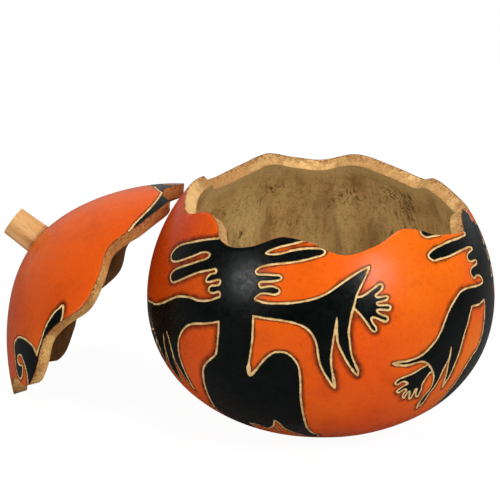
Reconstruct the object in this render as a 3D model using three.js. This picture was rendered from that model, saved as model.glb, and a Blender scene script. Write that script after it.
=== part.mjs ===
// A gourd box: a hollow gourd sawn in two along a wavy line, so that its crown is a lid.
// The lid is off, as in the photograph: it stands on its edge and leans on the bowl's left side.
// Millimetres, +Z up, the front faces -Y, and the origin is the middle of the flat foot.
import * as THREE from "three";

// Gourd: a half profile around the middle of its widest level.
const widestRadius = 75;
const crownHeight = 72.9;      // from the widest level to the crown, without the peak
const crownRoundness = 1.95;
const baseDepth = 57.3;        // from the widest level to the round bottom, before the foot is flattened
const baseRoundness = 2.18;
const peakRise = 4.8;          // the crown draws up a little towards the stem
const peakSpread = 27;         // degrees from the top
const footRadius = 22;
const rimWall = 6.3;
const crownWall = 5.2;
const floorWall = 8;

// Saw cut: heights of the outer edge over the widest level, at angles counted from +X to +Y.
// Crests and troughs alternate, and the steep steps at 146 and 335 are keys that line up the lid.
const cutWave = [
  [12, 38.5], [31, 43.6], [40, 40.9], [52, 43.8], [71, 48.9], [89, 44.6], [101, 46.7], [115, 50.2],
  [127, 45.5], [141, 41.6], [146, 42.1], [152, 45.8], [168, 46.7], [183, 45.8], [199, 43], [214, 46.7],
  [222, 44.4], [227, 39.6], [233, 38.1], [240, 39.2], [254, 44.2], [262, 43.2], [277, 38.5],
  [288, 40.8], [302, 45.2], [310, 43.4], [315, 41.2], [323, 39.3], [335, 37.3], [339, 40.6],
  [343, 42.1], [348, 42.5], [353, 41], [359, 38.2],
];
const sawKerf = 0.8;           // gap between the lid and the bowl when the box is shut

// Stem: a peg of wood on the crown, a little off the middle.
const stemRadius = 7.3;
const stemTipRadius = 6.9;
const stemHeight = 13.3;
const stemShift = 3.1;
const stemEdge = 0.5;
const stemGap = 0.3;

// Place of the lid: it tips over from shut and stands beside the bowl.
const lidLean = 55.6;          // degrees between the lid's axis and upright
const lidHeading = 166.8;      // direction its crown leans to
const lidTurn = -0.7;          // turn about its own axis
const lidOffset = -9;          // how far its middle is from the line of lean through the bowl
const leanGap = 0.3;           // left between the lid and the bowl it leans on

const around = 120;            // points in each ring
const outsideSteps = 15;
const insideSteps = 13;
const lidOutsideSteps = 9;
const lidInsideSteps = 8;
const poleAngle = 5;           // degrees between a pole and its nearest ring
const stemSides = 24;
const halvings = 40;
const degree = Math.PI / 180;

// Radius of the gourd from its centre, at an angle from the top.
function skin(polar) {
  const upper = polar <= 90;
  const tall = upper ? crownHeight : baseDepth;
  const power = upper ? crownRoundness : baseRoundness;
  const across = Math.abs(Math.sin(polar * degree)) / widestRadius;
  const along = Math.abs(Math.cos(polar * degree)) / tall;
  const round = (across ** power + along ** power) ** (-1 / power);
  return round + peakRise * Math.exp(-((polar / peakSpread) ** 2));
}

// Wall thickness, thin at the crown and thick at the floor.
function wall(polar) {
  const low = THREE.MathUtils.smoothstep(polar, 100, 170);
  const high = THREE.MathUtils.smoothstep(polar, 10, 50);
  return crownWall + (rimWall - crownWall) * high + (floorWall - rimWall) * low;
}

// Outer edge of the cut at an angle round the gourd, through the crests and troughs.
function cutHeight(angle) {
  const count = cutWave.length;
  const at = (i) => {
    const lap = Math.floor(i / count);
    const [a, h] = cutWave[i - lap * count];
    return [a + 360 * lap, h];
  };
  let i = -1;
  while (at(i + 1)[0] <= angle) i += 1;
  const [a0, h0] = at(i);
  const [a1, h1] = at(i + 1);
  const slope = (j) => {
    const [p, q, r] = [at(j - 1), at(j), at(j + 1)];
    const before = (q[1] - p[1]) / (q[0] - p[0]);
    const after = (r[1] - q[1]) / (r[0] - q[0]);
    return before * after > 0 ? 2 * before * after / (before + after) : 0;
  };
  const step = a1 - a0;
  const t = (angle - a0) / step;
  const ease = t * t * (3 - 2 * t);
  return h0 + (h1 - h0) * ease + step * t * (1 - t) * ((1 - t) * slope(i) - t * slope(i + 1));
}

// Where a test that holds at low and fails at high changes over.
function turningPoint(low, high, test) {
  for (let i = 0; i < halvings; i += 1) {
    const middle = (low + high) / 2;
    if (test(middle)) low = middle;
    else high = middle;
  }
  return low;
}

// The cut runs in towards the gourd's centre, so it is one angle from the top all through the wall.
function cutPolar(angle) {
  const height = cutHeight(angle);
  return turningPoint(0, 90, (polar) => skin(polar) * Math.cos(polar * degree) > height);
}

function spot(radius, polar, angle) {
  const out = radius * Math.sin(polar * degree);
  const up = radius * Math.cos(polar * degree);
  return [out * Math.cos(angle * degree), out * Math.sin(angle * degree), up];
}

// Closed skin from a pole, over rings of points, to the other pole. The rings run upwards outside.
function shell(firstPole, rings, lastPole) {
  const points = [firstPole, ...rings.flat(), lastPole];
  const size = rings[0].length;
  const faces = [];
  for (let j = 0; j < size; j += 1) {
    const k = (j + 1) % size;
    faces.push(0, 1 + k, 1 + j);
    for (let i = 0; i + 1 < rings.length; i += 1) {
      const a = 1 + i * size + j;
      const b = 1 + i * size + k;
      faces.push(a, b, b + size, a, b + size, a + size);
    }
    const top = 1 + (rings.length - 1) * size;
    faces.push(points.length - 1, top + j, top + k);
  }
  const geometry = new THREE.BufferGeometry();
  geometry.setAttribute("position", new THREE.Float32BufferAttribute(points.flat(), 3));
  geometry.setIndex(faces);
  geometry.computeVertexNormals();
  return geometry;
}

const angles = Array.from({ length: around }, (_, j) => j * 360 / around);
const cuts = angles.map(cutPolar);

// The foot is cut flat where the round bottom is as wide as the foot.
const footPolar = turningPoint(90, 180, (polar) => skin(polar) * Math.sin(polar * degree) > footRadius);
const widestLevel = -skin(footPolar) * Math.cos(footPolar * degree);

// Rings between two angles from the top; near the saw cut they follow it.
function rings(from, to, count, radius) {
  return Array.from({ length: count + 1 }, (_, i) => angles.map((angle, j) => {
    const start = typeof from === "number" ? from : from[j];
    const end = typeof to === "number" ? to : to[j];
    const polar = start + (end - start) * i / count;
    return spot(radius(polar), polar, angle);
  }));
}

const inside = (polar) => skin(polar) - wall(polar);

// Bowl, from the foot up the outside, over the cut and down the inside.
function bowlGeometry() {
  const outer = rings(footPolar, cuts, outsideSteps, skin);
  const inner = rings(cuts, 180 - poleAngle, insideSteps, inside);
  const geometry = shell([0, 0, -widestLevel], [...outer, ...inner], [0, 0, -inside(180)]);
  return geometry.translate(0, 0, widestLevel);
}

// Lid in its shut place, around the gourd's centre.
function lidGeometry() {
  const edge = cuts.map((polar) => polar - sawKerf / skin(polar) / degree);
  const inner = rings(poleAngle, edge, lidInsideSteps, inside);
  const outer = rings(edge, poleAngle, lidOutsideSteps, skin);
  return shell([0, 0, inside(0)], [...inner, ...outer], [0, 0, skin(0)]);
}

// Stem: its foot follows the crown, and its sawn top is flat with a broken edge.
function stemGeometry() {
  const seat = (x, y) => {
    const out = Math.hypot(x, y);
    const polar = turningPoint(0, 90, (angle) => skin(angle) * Math.sin(angle * degree) < out);
    return skin(polar) * Math.cos(polar * degree) + stemGap;
  };
  const top = skin(0) + stemHeight;
  const ring = (radius, height) => Array.from({ length: stemSides }, (_, j) => {
    const turn = 2 * Math.PI * j / stemSides;
    const x = stemShift + radius * Math.cos(turn);
    const y = radius * Math.sin(turn);
    return [x, y, height ?? seat(x, y)];
  });
  const sides = [
    ring(stemRadius / 2),
    ring(stemRadius),
    ring(stemTipRadius, top - stemEdge),
    ring(stemTipRadius - stemEdge, top),
  ];
  return shell([stemShift, 0, seat(stemShift, 0)], sides, [stemShift, 0, top]);
}

function piece(name, geometry, color, roughness) {
  const material = new THREE.MeshStandardMaterial({ color, roughness, metalness: 0 });
  const mesh = new THREE.Mesh(geometry, material);
  mesh.name = name;
  return mesh;
}

const bowl = piece("bowl", bowlGeometry(), 0xd8561c, 0.42);
const lid = piece("lid", lidGeometry(), 0xdb5a1e, 0.42);
const stem = piece("stem", stemGeometry(), 0xd9ab66, 0.7);

// The lid and its stem tip over together, and stand with the lid's edge on the table.
const tip = new THREE.Matrix4().makeRotationZ(lidHeading * degree)
  .multiply(new THREE.Matrix4().makeRotationY(lidLean * degree))
  .multiply(new THREE.Matrix4().makeRotationZ((lidTurn - lidHeading) * degree));
const tipped = lid.geometry.clone().applyMatrix4(tip);
tipped.computeBoundingBox();
const lidPoints = tipped.getAttribute("position");

function lidPlace(away) {
  const across = lidHeading + 90;
  const x = away * Math.cos(lidHeading * degree) + lidOffset * Math.cos(across * degree);
  const y = away * Math.sin(lidHeading * degree) + lidOffset * Math.sin(across * degree);
  return new THREE.Vector3(x, y, -tipped.boundingBox.min.z);
}

// True while some point of the lid is closer to the bowl than the gap.
function leansTooClose(away) {
  const place = lidPlace(away);
  const point = new THREE.Vector3();
  for (let i = 0; i < lidPoints.count; i += 1) {
    point.fromBufferAttribute(lidPoints, i).add(place);
    point.z -= widestLevel;
    const out = Math.hypot(point.x, point.y);
    if (point.length() < skin(Math.atan2(out, point.z) / degree) + leanGap) return true;
  }
  return false;
}

const leaning = new THREE.Group();
leaning.name = "leaning_lid";
leaning.quaternion.setFromRotationMatrix(tip);
leaning.position.copy(lidPlace(turningPoint(0, 3 * widestRadius, leansTooClose)));
leaning.add(lid, stem);

const box = new THREE.Group();
box.name = "gourd_box";
box.add(bowl, leaning);

export default box;
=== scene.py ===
"""Looks of the gourd box: fine shells for the bowl and the lid, the carved figures, the wood of
the stem, soft studio light and the camera of the photograph. Lengths are millimetres inside this
file and metres in the scene. The gourd's shape is that of the CAD part, around its widest level."""
import math

import bpy
import numpy as np
from mathutils import Matrix, Vector, kdtree, noise


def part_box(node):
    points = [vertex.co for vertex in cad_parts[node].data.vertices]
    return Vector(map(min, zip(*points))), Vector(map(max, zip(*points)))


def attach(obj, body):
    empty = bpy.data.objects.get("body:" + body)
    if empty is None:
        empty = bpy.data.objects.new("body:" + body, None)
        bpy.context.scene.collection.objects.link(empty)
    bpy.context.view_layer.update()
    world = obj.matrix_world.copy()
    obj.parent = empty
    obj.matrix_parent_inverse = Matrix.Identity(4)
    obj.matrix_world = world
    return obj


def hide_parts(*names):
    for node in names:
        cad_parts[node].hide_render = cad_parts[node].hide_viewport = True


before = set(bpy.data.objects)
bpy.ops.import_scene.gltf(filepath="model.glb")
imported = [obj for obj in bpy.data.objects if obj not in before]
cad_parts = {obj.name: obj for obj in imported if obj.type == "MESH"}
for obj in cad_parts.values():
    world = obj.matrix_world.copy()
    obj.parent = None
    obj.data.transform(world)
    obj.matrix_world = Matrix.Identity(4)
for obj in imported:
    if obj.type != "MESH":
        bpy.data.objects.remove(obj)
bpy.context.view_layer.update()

MM = 0.001
DEGREE = math.pi / 180

# ---- Gourd, as in the CAD part -----------------------------------------------------------------
WIDEST_RADIUS = 75
CROWN_HEIGHT, CROWN_ROUNDNESS = 72.9, 1.95
BASE_DEPTH, BASE_ROUNDNESS = 57.3, 2.18
PEAK_RISE, PEAK_SPREAD = 4.8, 27
FOOT_RADIUS = 22
RIM_WALL, CROWN_WALL, FLOOR_WALL = 6.3, 5.2, 8
CUT_WAVE = (
    (12, 38.5), (31, 43.6), (40, 40.9), (52, 43.8), (71, 48.9), (89, 44.6), (101, 46.7),
    (115, 50.2), (127, 45.5), (141, 41.6), (146, 42.1), (152, 45.8), (168, 46.7), (183, 45.8),
    (199, 43), (214, 46.7), (222, 44.4), (227, 39.6), (233, 38.1), (240, 39.2), (254, 44.2),
    (262, 43.2), (277, 38.5), (288, 40.8), (302, 45.2), (310, 43.4), (315, 41.2), (323, 39.3),
    (335, 37.3), (339, 40.6), (343, 42.1), (348, 42.5), (353, 41), (359, 38.2),
)
SAW_KERF = 0.8
STEM_RADIUS, STEM_TIP_RADIUS, STEM_HEIGHT, STEM_SHIFT = 7.3, 6.9, 13.3, 3.1
LID_LEAN, LID_HEADING, LID_TURN = 55.6, 166.8, -0.7
CAD_AROUND = 120           # points in each ring of the CAD part
HALVINGS = 40              # steps of each search between two values


def skin(polar):
    """Radius of the gourd from its centre, at angles from the top."""
    polar = np.asarray(polar, float)
    upper = polar <= 90
    tall = np.where(upper, CROWN_HEIGHT, BASE_DEPTH)
    power = np.where(upper, CROWN_ROUNDNESS, BASE_ROUNDNESS)
    across = np.abs(np.sin(polar * DEGREE)) / WIDEST_RADIUS
    along = np.abs(np.cos(polar * DEGREE)) / tall
    peak = PEAK_RISE * np.exp(-((polar / PEAK_SPREAD) ** 2))
    return (across**power + along**power) ** (-1 / power) + peak


def smooth_step(x, low, high):
    """Eases from 0 at low to 1 at high."""
    t = np.clip((np.asarray(x, float) - low) / (high - low), 0, 1)
    return t * t * (3 - 2 * t)


def wall(polar):
    """Wall thickness, thin at the crown and thick at the floor."""
    rim = (RIM_WALL - CROWN_WALL) * smooth_step(polar, 10, 50)
    floor = (FLOOR_WALL - RIM_WALL) * smooth_step(polar, 100, 170)
    return CROWN_WALL + rim + floor


def cut_height(azimuth):
    """Height of the sawn edge over the widest level."""
    wave = np.array(CUT_WAVE, float)
    angles, heights = np.vstack([wave[-2:] - [360, 0], wave, wave[:3] + [360, 0]]).T
    rises = np.diff(heights) / np.diff(angles)
    before, after = rises[:-1], rises[1:]
    total = before + after
    mean = 2 * before * after / np.where(total == 0, 1, total)
    slopes = np.concatenate([[0], np.where(before * after > 0, mean, 0), [0]])
    azimuth = np.asarray(azimuth, float) % 360
    i = np.clip(np.searchsorted(angles, azimuth, side="right") - 1, 1, len(angles) - 3)
    step = angles[i + 1] - angles[i]
    t = (azimuth - angles[i]) / step
    ease = t * t * (3 - 2 * t)
    bend = step * t * (1 - t) * ((1 - t) * slopes[i] - t * slopes[i + 1])
    return heights[i] + (heights[i + 1] - heights[i]) * ease + bend


def turning_point(low, high, test):
    """Where a test that holds at low and fails at high changes over."""
    for _ in range(HALVINGS):
        middle = (low + high) / 2
        holds = test(middle)
        low, high = np.where(holds, middle, low), np.where(holds, high, middle)
    return low


def cut_polar(azimuth):
    """The sawn edge as an angle from the top, the same all through the wall."""
    height = cut_height(azimuth)
    start = np.zeros_like(height)
    return turning_point(start, start + 90, lambda p: skin(p) * np.cos(p * DEGREE) > height)


FOOT_POLAR = float(turning_point(90.0, 180.0, lambda p: skin(p) * np.sin(p * DEGREE) > FOOT_RADIUS))
WIDEST_LEVEL = -float(skin(FOOT_POLAR)) * math.cos(FOOT_POLAR * DEGREE)
LID_TILT = (
    Matrix.Rotation(LID_HEADING * DEGREE, 3, "Z")
    @ Matrix.Rotation(LID_LEAN * DEGREE, 3, "Y")
    @ Matrix.Rotation((LID_TURN - LID_HEADING) * DEGREE, 3, "Z")
)


def spot(radius, polar, azimuth):
    """Point around the gourd's centre."""
    out, up = radius * np.sin(polar * DEGREE), radius * np.cos(polar * DEGREE)
    return np.stack([out * np.cos(azimuth * DEGREE), out * np.sin(azimuth * DEGREE), up], axis=-1)


def lower(polar, by):
    """An angle from the top further down the skin by a length in mm."""
    return polar + by / skin(polar) / DEGREE


def lid_place():
    """Where the tipped lid's centre is. Its sawn edge reaches three sides of the CAD lid's box."""
    azimuth = np.arange(CAD_AROUND) * 360 / CAD_AROUND
    polar = lower(cut_polar(azimuth), -SAW_KERF)
    outer, inner = skin(polar), skin(polar) - wall(polar)
    edge = np.vstack([spot(outer, polar, azimuth), spot(inner, polar, azimuth)])
    edge = edge @ np.array(LID_TILT).T
    low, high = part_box("lid")
    reach = (edge[:, 0].max(), edge[:, 1].min(), edge[:, 2].min())
    return tuple(side / MM - end for side, end in zip((high.x, low.y, low.z), reach))


LID_PLACE = lid_place()


def angles_of(points):
    """Azimuth and polar angle of points around the gourd's centre."""
    length = np.linalg.norm(points, axis=1)
    polar = np.arccos(np.clip(points[:, 2] / length, -1, 1)) / DEGREE
    return np.arctan2(points[:, 1], points[:, 0]) / DEGREE % 360, polar


# ---- Camera of the photograph ------------------------------------------------------------------
PHOTO_SIZE = 500
CAMERA_AT = (-30.38, -757.8, 321.74)
CAMERA_DOWN = 18           # degrees
FOCAL_PIXELS = 1855.5
SIGHT_STEPS = np.linspace(-95, 30, 251)   # mm along a sight line from its point nearest the centre


def cast(pixels, on_lid):
    """Where sight lines through points read by eye in the photograph meet the gourd."""
    pixels = np.asarray(pixels, float)
    down = CAMERA_DOWN * DEGREE
    ahead = np.array([0, math.cos(down), -math.sin(down)])
    above = np.array([0, math.sin(down), math.cos(down)])
    middle = PHOTO_SIZE / 2
    ways = ahead + above * ((middle - pixels[:, 1:2]) / FOCAL_PIXELS)
    ways[:, 0] += (pixels[:, 0] - middle) / FOCAL_PIXELS
    ways /= np.linalg.norm(ways, axis=1)[:, None]
    centre = np.array(LID_PLACE if on_lid else (0, 0, WIDEST_LEVEL))
    eye = np.repeat((np.array(CAMERA_AT) - centre)[None], len(pixels), axis=0)
    if on_lid:
        tilt = np.array(LID_TILT)
        eye, ways = eye @ tilt, ways @ tilt
    nearest = -(eye * ways).sum(axis=1)

    def depth(t):
        at = eye + ways * t[:, None]
        return np.linalg.norm(at, axis=1) - skin(angles_of(at)[1])

    tries = nearest[:, None] + SIGHT_STEPS[None]
    found = np.stack([depth(tries[:, i]) for i in range(tries.shape[1])], axis=1)
    hit = (found <= 0).any(axis=1)
    first = np.where(hit, (found <= 0).argmax(axis=1), found.argmin(axis=1))
    rows = np.arange(len(pixels))
    high = tries[rows, first]
    low = np.where(hit, tries[rows, np.maximum(first - 1, 0)], high)
    meets = turning_point(low, high, lambda t: depth(t) > 0)
    return np.stack(angles_of(eye + ways * meets[:, None]), axis=1)


# ---- Carved figures ----------------------------------------------------------------------------
# Outlines are read: photo(...) takes points in the photograph's pixels, and chart(...) takes
# (azimuth, angle from the top) for the sides that the photograph doesn't show. Both give a stroke,
# which is its points on the chart and its width as a share of LINE_WIDTH. An unseen stroke only
# closes a figure past a sawn edge and isn't drawn.
RIGHT_TURN = 103           # degrees from the front figure to the right one
BACK_TURN = -130.3         # degrees from the front figure to the back one
SMALL_HAND_TURN = -107.5   # degrees from the right figure's near hand to the front one's far hand


def curve(points, steps=7):
    """Centripetal Catmull-Rom curve through the points."""
    points = np.asarray(points, float)
    if len(points) < 3:
        return points
    ends = [2 * points[0] - points[1], 2 * points[-1] - points[-2]]
    points = np.vstack([ends[0], points, ends[1]])
    result = []
    for a, b, c, d in zip(points, points[1:], points[2:], points[3:]):
        t1 = max(np.linalg.norm(b - a), 1e-6) ** 0.5
        t2 = t1 + max(np.linalg.norm(c - b), 1e-6) ** 0.5
        t3 = t2 + max(np.linalg.norm(d - c), 1e-6) ** 0.5
        for t in np.linspace(t1, t2, steps, endpoint=False):
            ab = (t1 - t) / t1 * a + t / t1 * b
            bc = (t2 - t) / (t2 - t1) * b + (t - t1) / (t2 - t1) * c
            cd = (t3 - t) / (t3 - t2) * c + (t - t2) / (t3 - t2) * d
            abc = (t2 - t) / t2 * ab + t / t2 * bc
            bcd = (t3 - t) / (t3 - t1) * bc + (t - t1) / (t3 - t1) * cd
            result.append((t2 - t) / (t2 - t1) * abc + (t - t1) / (t2 - t1) * bcd)
    result.append(points[-2])
    return np.array(result)


def photo(*points, on_lid=False, width=1.0):
    """A stroke through points in the photograph."""
    return cast(curve(points), on_lid), width


def chart(*points, width=1.0):
    """A stroke through points on the chart."""
    return curve(points), width


def unseen(*points):
    """Straight lines on the chart that only close a figure."""
    return np.asarray(points, float), 0.0


def turned(strokes, by):
    """The strokes turned round the gourd by an angle."""
    return [(points + [by, 0], width) for points, width in strokes]


# Front figure, left half, from the rim down to the underside.
front_left = [
    photo(
        (226, 235.6), (220, 237.6), (203.6, 239.5), (192, 241.8), (180.6, 244.5), (173.7, 249.5),
        (170.3, 255.6), (171, 260.2), (175.3, 261.4), (184.4, 258.7), (193, 255.6), (202, 252.2),
        (206.6, 252.2), (209.7, 254.5), (206.6, 258), (199, 260.6), (191.3, 263.3),
        (180.6, 266.7), (173.7, 269.8), (170, 274.7), (170, 280), (171.8, 282.4), (176.8, 281),
        (188.3, 276), (199, 272), (208.2, 270.2), (215, 269), (216.2, 271), (215, 272.8),
        (210.5, 274), (207, 277), (205.5, 281), (208.5, 282), (214.3, 280.5), (219, 279.7),
        (220, 281.2), (219, 284.3), (215, 285.5), (211.2, 285.5), (208.5, 288.5), (209.3, 292),
        (213.5, 293), (218, 291.6), (219.6, 293), (219.3, 296.6), (215.8, 298), (210.5, 300),
        (203.6, 300.8), (197.4, 300.4), (191.3, 298), (183.7, 296.6), (176.8, 296.6),
        (169, 299.6), (161.5, 303), (154.6, 304.2), (151, 302.3), (147.5, 300.5),
    ),
    chart((184.5, 90.8), (180, 90), (175.5, 91.6)),
    chart(
        (175.5, 91.6), (180, 94.2), (185, 95.6), (190, 98), (194.5, 101.6), (198, 105.5),
        (201, 109.3),
    ),
    chart(
        (201, 109.3), (200.6, 106.4), (199.3, 102.2), (197.5, 98.9), (195, 95.7), (193, 92.5),
        width=0.8,
    ),
    chart(
        (193, 92.5), (196, 95.5), (198.3, 98.7), (200, 101.8), (201.5, 105.3), (202, 108),
        width=0.8,
    ),
    photo((166.6, 364.4), (165.6, 357.5), (164.3, 349), (163.1, 340.5), (162.6, 334), width=0.6),
    photo(
        (162.6, 334), (163.6, 342.6), (165.2, 350.5), (168.2, 360.4), (171.7, 368.3),
        (176.4, 375.3), (181.6, 381.6), width=0.85,
    ),
    photo(
        (181.6, 381.6), (177.6, 371.8), (173.8, 361.5), (171, 351), (168.4, 341), (166, 332),
        width=0.6,
    ),
    photo(
        (166, 332), (168.8, 340.6), (171.4, 350.5), (174.5, 360.4), (179, 369.3), (184, 377.2),
        (188.9, 384.2), (193.2, 389.4), width=0.85,
    ),
    photo(
        (193.2, 389.4), (186.8, 377), (181.8, 365), (178.6, 354.5), (177.6, 345.3),
        (178.7, 337.7), (182, 330.6), (186, 326.4), (193, 323.9), (203.6, 323.7), (211.2, 323),
        (218.3, 321.8),
    ),
    photo(
        (218.3, 321.8), (218, 332), (217.3, 339.7), (216.6, 347.6), (214.7, 355.3), (210.5, 359),
        (205, 364.4), (202.8, 369.8), (202.8, 377.4), (204.3, 386), (207.4, 395), (211.2, 402.7),
        (213.7, 406.6),
    ),
    chart(
        (222.2, 119.4), (222.8, 126), (226, 133), (231, 136.6), (235, 135), (236.8, 130.5),
        (237.6, 125.2),
    ),
]
# Front figure, underside and right half, back up to the slot over the raised finger.
front_right = [
    photo((250, 423.3), (259, 425.6), (268.3, 428.7), (273, 426.4), (274.4, 421)),
    photo((274.4, 421), (277.5, 422.5), (283, 428), (292, 432.5), (299, 434.6)),
    chart((258.7, 130.4), (261.5, 134.2), (265, 135.8), (267.6, 134.2), (267.6, 130.9)),
    photo(
        (317.3, 435.2), (312, 433.3), (307.3, 428.7), (304.3, 419.5), (301.6, 406.5),
        (300.5, 396.5), (300.5, 385), (299.7, 373.6), (297.8, 365.2), (293.6, 359),
        (287.4, 353.7), (281.3, 352), (274.4, 352.5), (268.3, 356), (262.2, 362), (255.3, 370.5),
        (249, 377.2),
    ),
    photo(
        (249, 377.2), (248.5, 370), (248.8, 362), (250.3, 353), (252, 340), (252.5, 330),
        (253, 316.2),
    ),
    photo(
        (253, 316.2), (265.3, 318.4), (282, 320.7), (293.6, 323), (303.3, 326.6), (309.3, 331),
        (314, 338), (316.7, 345.3), (318, 354.4), (319.6, 363), (322.6, 370.5), (327.2, 378.2),
        (331.8, 385), (335.3, 389.3),
    ),
    photo(
        (335.3, 389.3), (333.4, 377.4), (331.5, 367.4), (331.4, 354.4), (333, 343), (335.6, 328),
        (337.1, 316.8),
    ),
    photo(
        (337.1, 316.8), (336.9, 331.5), (338, 343), (341.8, 352), (347, 362), (354, 372),
        (357.9, 376.6),
    ),
    photo(
        (357.9, 376.6), (358.2, 371.3), (355.7, 365), (351.7, 355), (350, 342), (349, 332.7),
        (350.5, 321), (352.8, 310.5), (355, 302.8), (356.2, 297.4), (357.3, 294.4), (361.2, 286),
        (365, 278.3), (368, 271.4), (369.8, 265.9),
    ),
    photo(
        (369.8, 265.9), (362.7, 269.5), (355.8, 273.7), (347, 279.5), (337.5, 286.3),
        (326.6, 293.6), (315, 298.5), (305, 301), (293.6, 302.7), (278.3, 303.4), (266, 303),
        (258.4, 300.8), (254.5, 299), (256.5, 296.2), (260.7, 293.5), (266.8, 293.5),
        (274.4, 294.6), (279, 292.7), (279, 289), (276.7, 287.8), (272, 286.2), (265.3, 286.6),
        (260.7, 287.4), (258.7, 284.3), (260, 282), (265.3, 281.6), (273, 281.2), (279.8, 279.7),
        (281.7, 277.8), (279.8, 275.5), (274.4, 275), (265.3, 274.4), (257.2, 274),
        (255.3, 271.7), (257.6, 268.6), (263, 266), (274.4, 264), (286, 263), (301.2, 260.6),
        (316.5, 256.8), (323.4, 254.5), (325.3, 251.4), (322.7, 248.7), (316.5, 248),
        (305, 248.3), (292, 250.3), (278.3, 253.7), (269, 254), (265.6, 253),
    ),
]
front_slot = [
    photo((265.6, 253), (268.3, 251), (278.3, 247.2), (293.6, 243.4), (307.3, 239.9), (314, 238.4))
]
front = front_left + front_right + front_slot + [unseen((264, 47), (228, 47))]
hand = [
    photo(
        (356.2, 297.4), (362.7, 296), (368.8, 292), (375, 287.5), (378.8, 284.4), (381.8, 284),
        (383, 286), (381.8, 289.4), (378, 293), (375.7, 295.2), (377.2, 297), (381.8, 296.7),
        (386.4, 296), (388.3, 297), (386.8, 299.7), (381.8, 301.3), (377.2, 302.8), (378, 304.7),
        (383.4, 305), (389.5, 305.5), (391, 307), (389.5, 309.7), (383.4, 309.7), (377.2, 310),
        (378, 312.4), (382.6, 315), (387.2, 316.6), (388.3, 319), (386.4, 321.6), (381.8, 320.4),
        (376.5, 318), (372.7, 317.3), (371.5, 319), (373.4, 323.5), (376.5, 328), (376.5, 331),
        (373.8, 331.5), (371, 328.8), (365.8, 321.2), (359.6, 313.5), (354, 308),
    )
]

# Right figure, the half that faces the camera.
right_left = [
    photo(
        (462.6, 230.6), (465.7, 233.7), (459.6, 237.5), (453.5, 239.8), (447.3, 242.1),
        (441.2, 245.2), (435.1, 248.2), (431.3, 251.3), (429, 254.3), (429, 256.6),
        (431.3, 258.9), (435.1, 260.5), (439.7, 258.9), (445.8, 257.4), (451.9, 255.1),
        (458.1, 252), (464.2, 249), (470.3, 246.7), (472.2, 247.5), (472.6, 249), (470.3, 251.3),
        (468, 254.3), (468, 257.4), (469.9, 260.5), (472.6, 261.2), (475.7, 259.7),
        (477.2, 260.5), (477.2, 263.5), (474.1, 265.8), (471.8, 268.9), (471.5, 272.7),
        (472.6, 275.8), (474.9, 278.1), (477.2, 275.4), (480.3, 275.4), (482.9, 278.8),
        (483.3, 281.9), (481, 284.2), (475.7, 286.1), (470.3, 287.2), (465.7, 288.8),
        (461.1, 291.8), (457.3, 297.2), (453.5, 303.3), (449.6, 311), (446.6, 318.6),
        (442, 330.6), (438.2, 338.3), (433.6, 344.4), (427.4, 351.3), (421.3, 355.9),
        (414.4, 359.3), (407.6, 361.2), (399.1, 362.4), (393.6, 363.9),
    ),
    photo(
        (393.6, 363.9), (397.6, 365.1), (403.7, 365.8), (410.6, 365), (416.7, 363.1),
        (422.9, 362), (427.4, 363.5), (430.5, 366.6), (432.8, 370.4), (434.3, 375.8),
        (434, 381.1), (432, 387.2), (427.4, 393.4), (422.9, 398.7), (419.8, 403.3),
        (417.1, 408.7),
    ),
    photo(
        (417.1, 408.7), (421.3, 405.6), (425.9, 400.3), (429.7, 394.1), (435.1, 387.2),
        (439.7, 379.6), (443.5, 371.2), (446.6, 365), (449.6, 358.9), (451.6, 351), (452, 346.8),
    ),
    photo((452, 346.8), (450.8, 356.6), (448.9, 365), (447.3, 373.5), (445, 381.1), (443.1, 388)),
    photo(
        (443.1, 388), (446.6, 381.9), (448.9, 378.8), (452.7, 371.2), (455.8, 363.5),
        (458.8, 355.9), (461.1, 349), (463.4, 340.6), (465.7, 332.1), (468, 325.3),
        (470.3, 315.3), (471.8, 309.2), (472.6, 306.1),
    ),
    photo((472.6, 306.1), (476.4, 305.4), (480.3, 303.8), (483.3, 300.8), (485, 299.5)),
    photo(
        (485, 299.5), (485.4, 308), (484.8, 319.1), (483.3, 330.6), (481, 339.8), (477.2, 349),
        (471.8, 357.4), (465.7, 367.3), (460.4, 376.5), (455, 384.2), (448.9, 391.8),
        (442.8, 398.7), (438.6, 403),
    ),
    chart(
        (321.1, 119.3), (322.8, 127), (327, 134), (333, 137), (338, 135), (340, 130.5),
        (340.6, 125.2),
    ),
]
right_top = [chart((350.2, 60.2), (351.6, 58.6), (350.6, 56.6), (348.8, 54.8), (347.4, 52.6))]


def far_side(strokes):
    """The front figure's right half, turned to the right figure; its hand is lower there."""
    moved = []
    levels = (58, 65, 69, 72, 90)
    for points, width in turned(strokes, RIGHT_TURN):
        azimuth, polar = points.T
        share = 1 - smooth_step(azimuth, 357, 372)
        down = np.interp(polar, levels, (4, 3.3, 3.8, 6.5, 0))
        round_by = np.interp(polar, levels, (4.5, 3.5, 0, -1.5, 0))
        moved.append((points + share[:, None] * np.stack([round_by, down], axis=1), width))
    return moved


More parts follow.
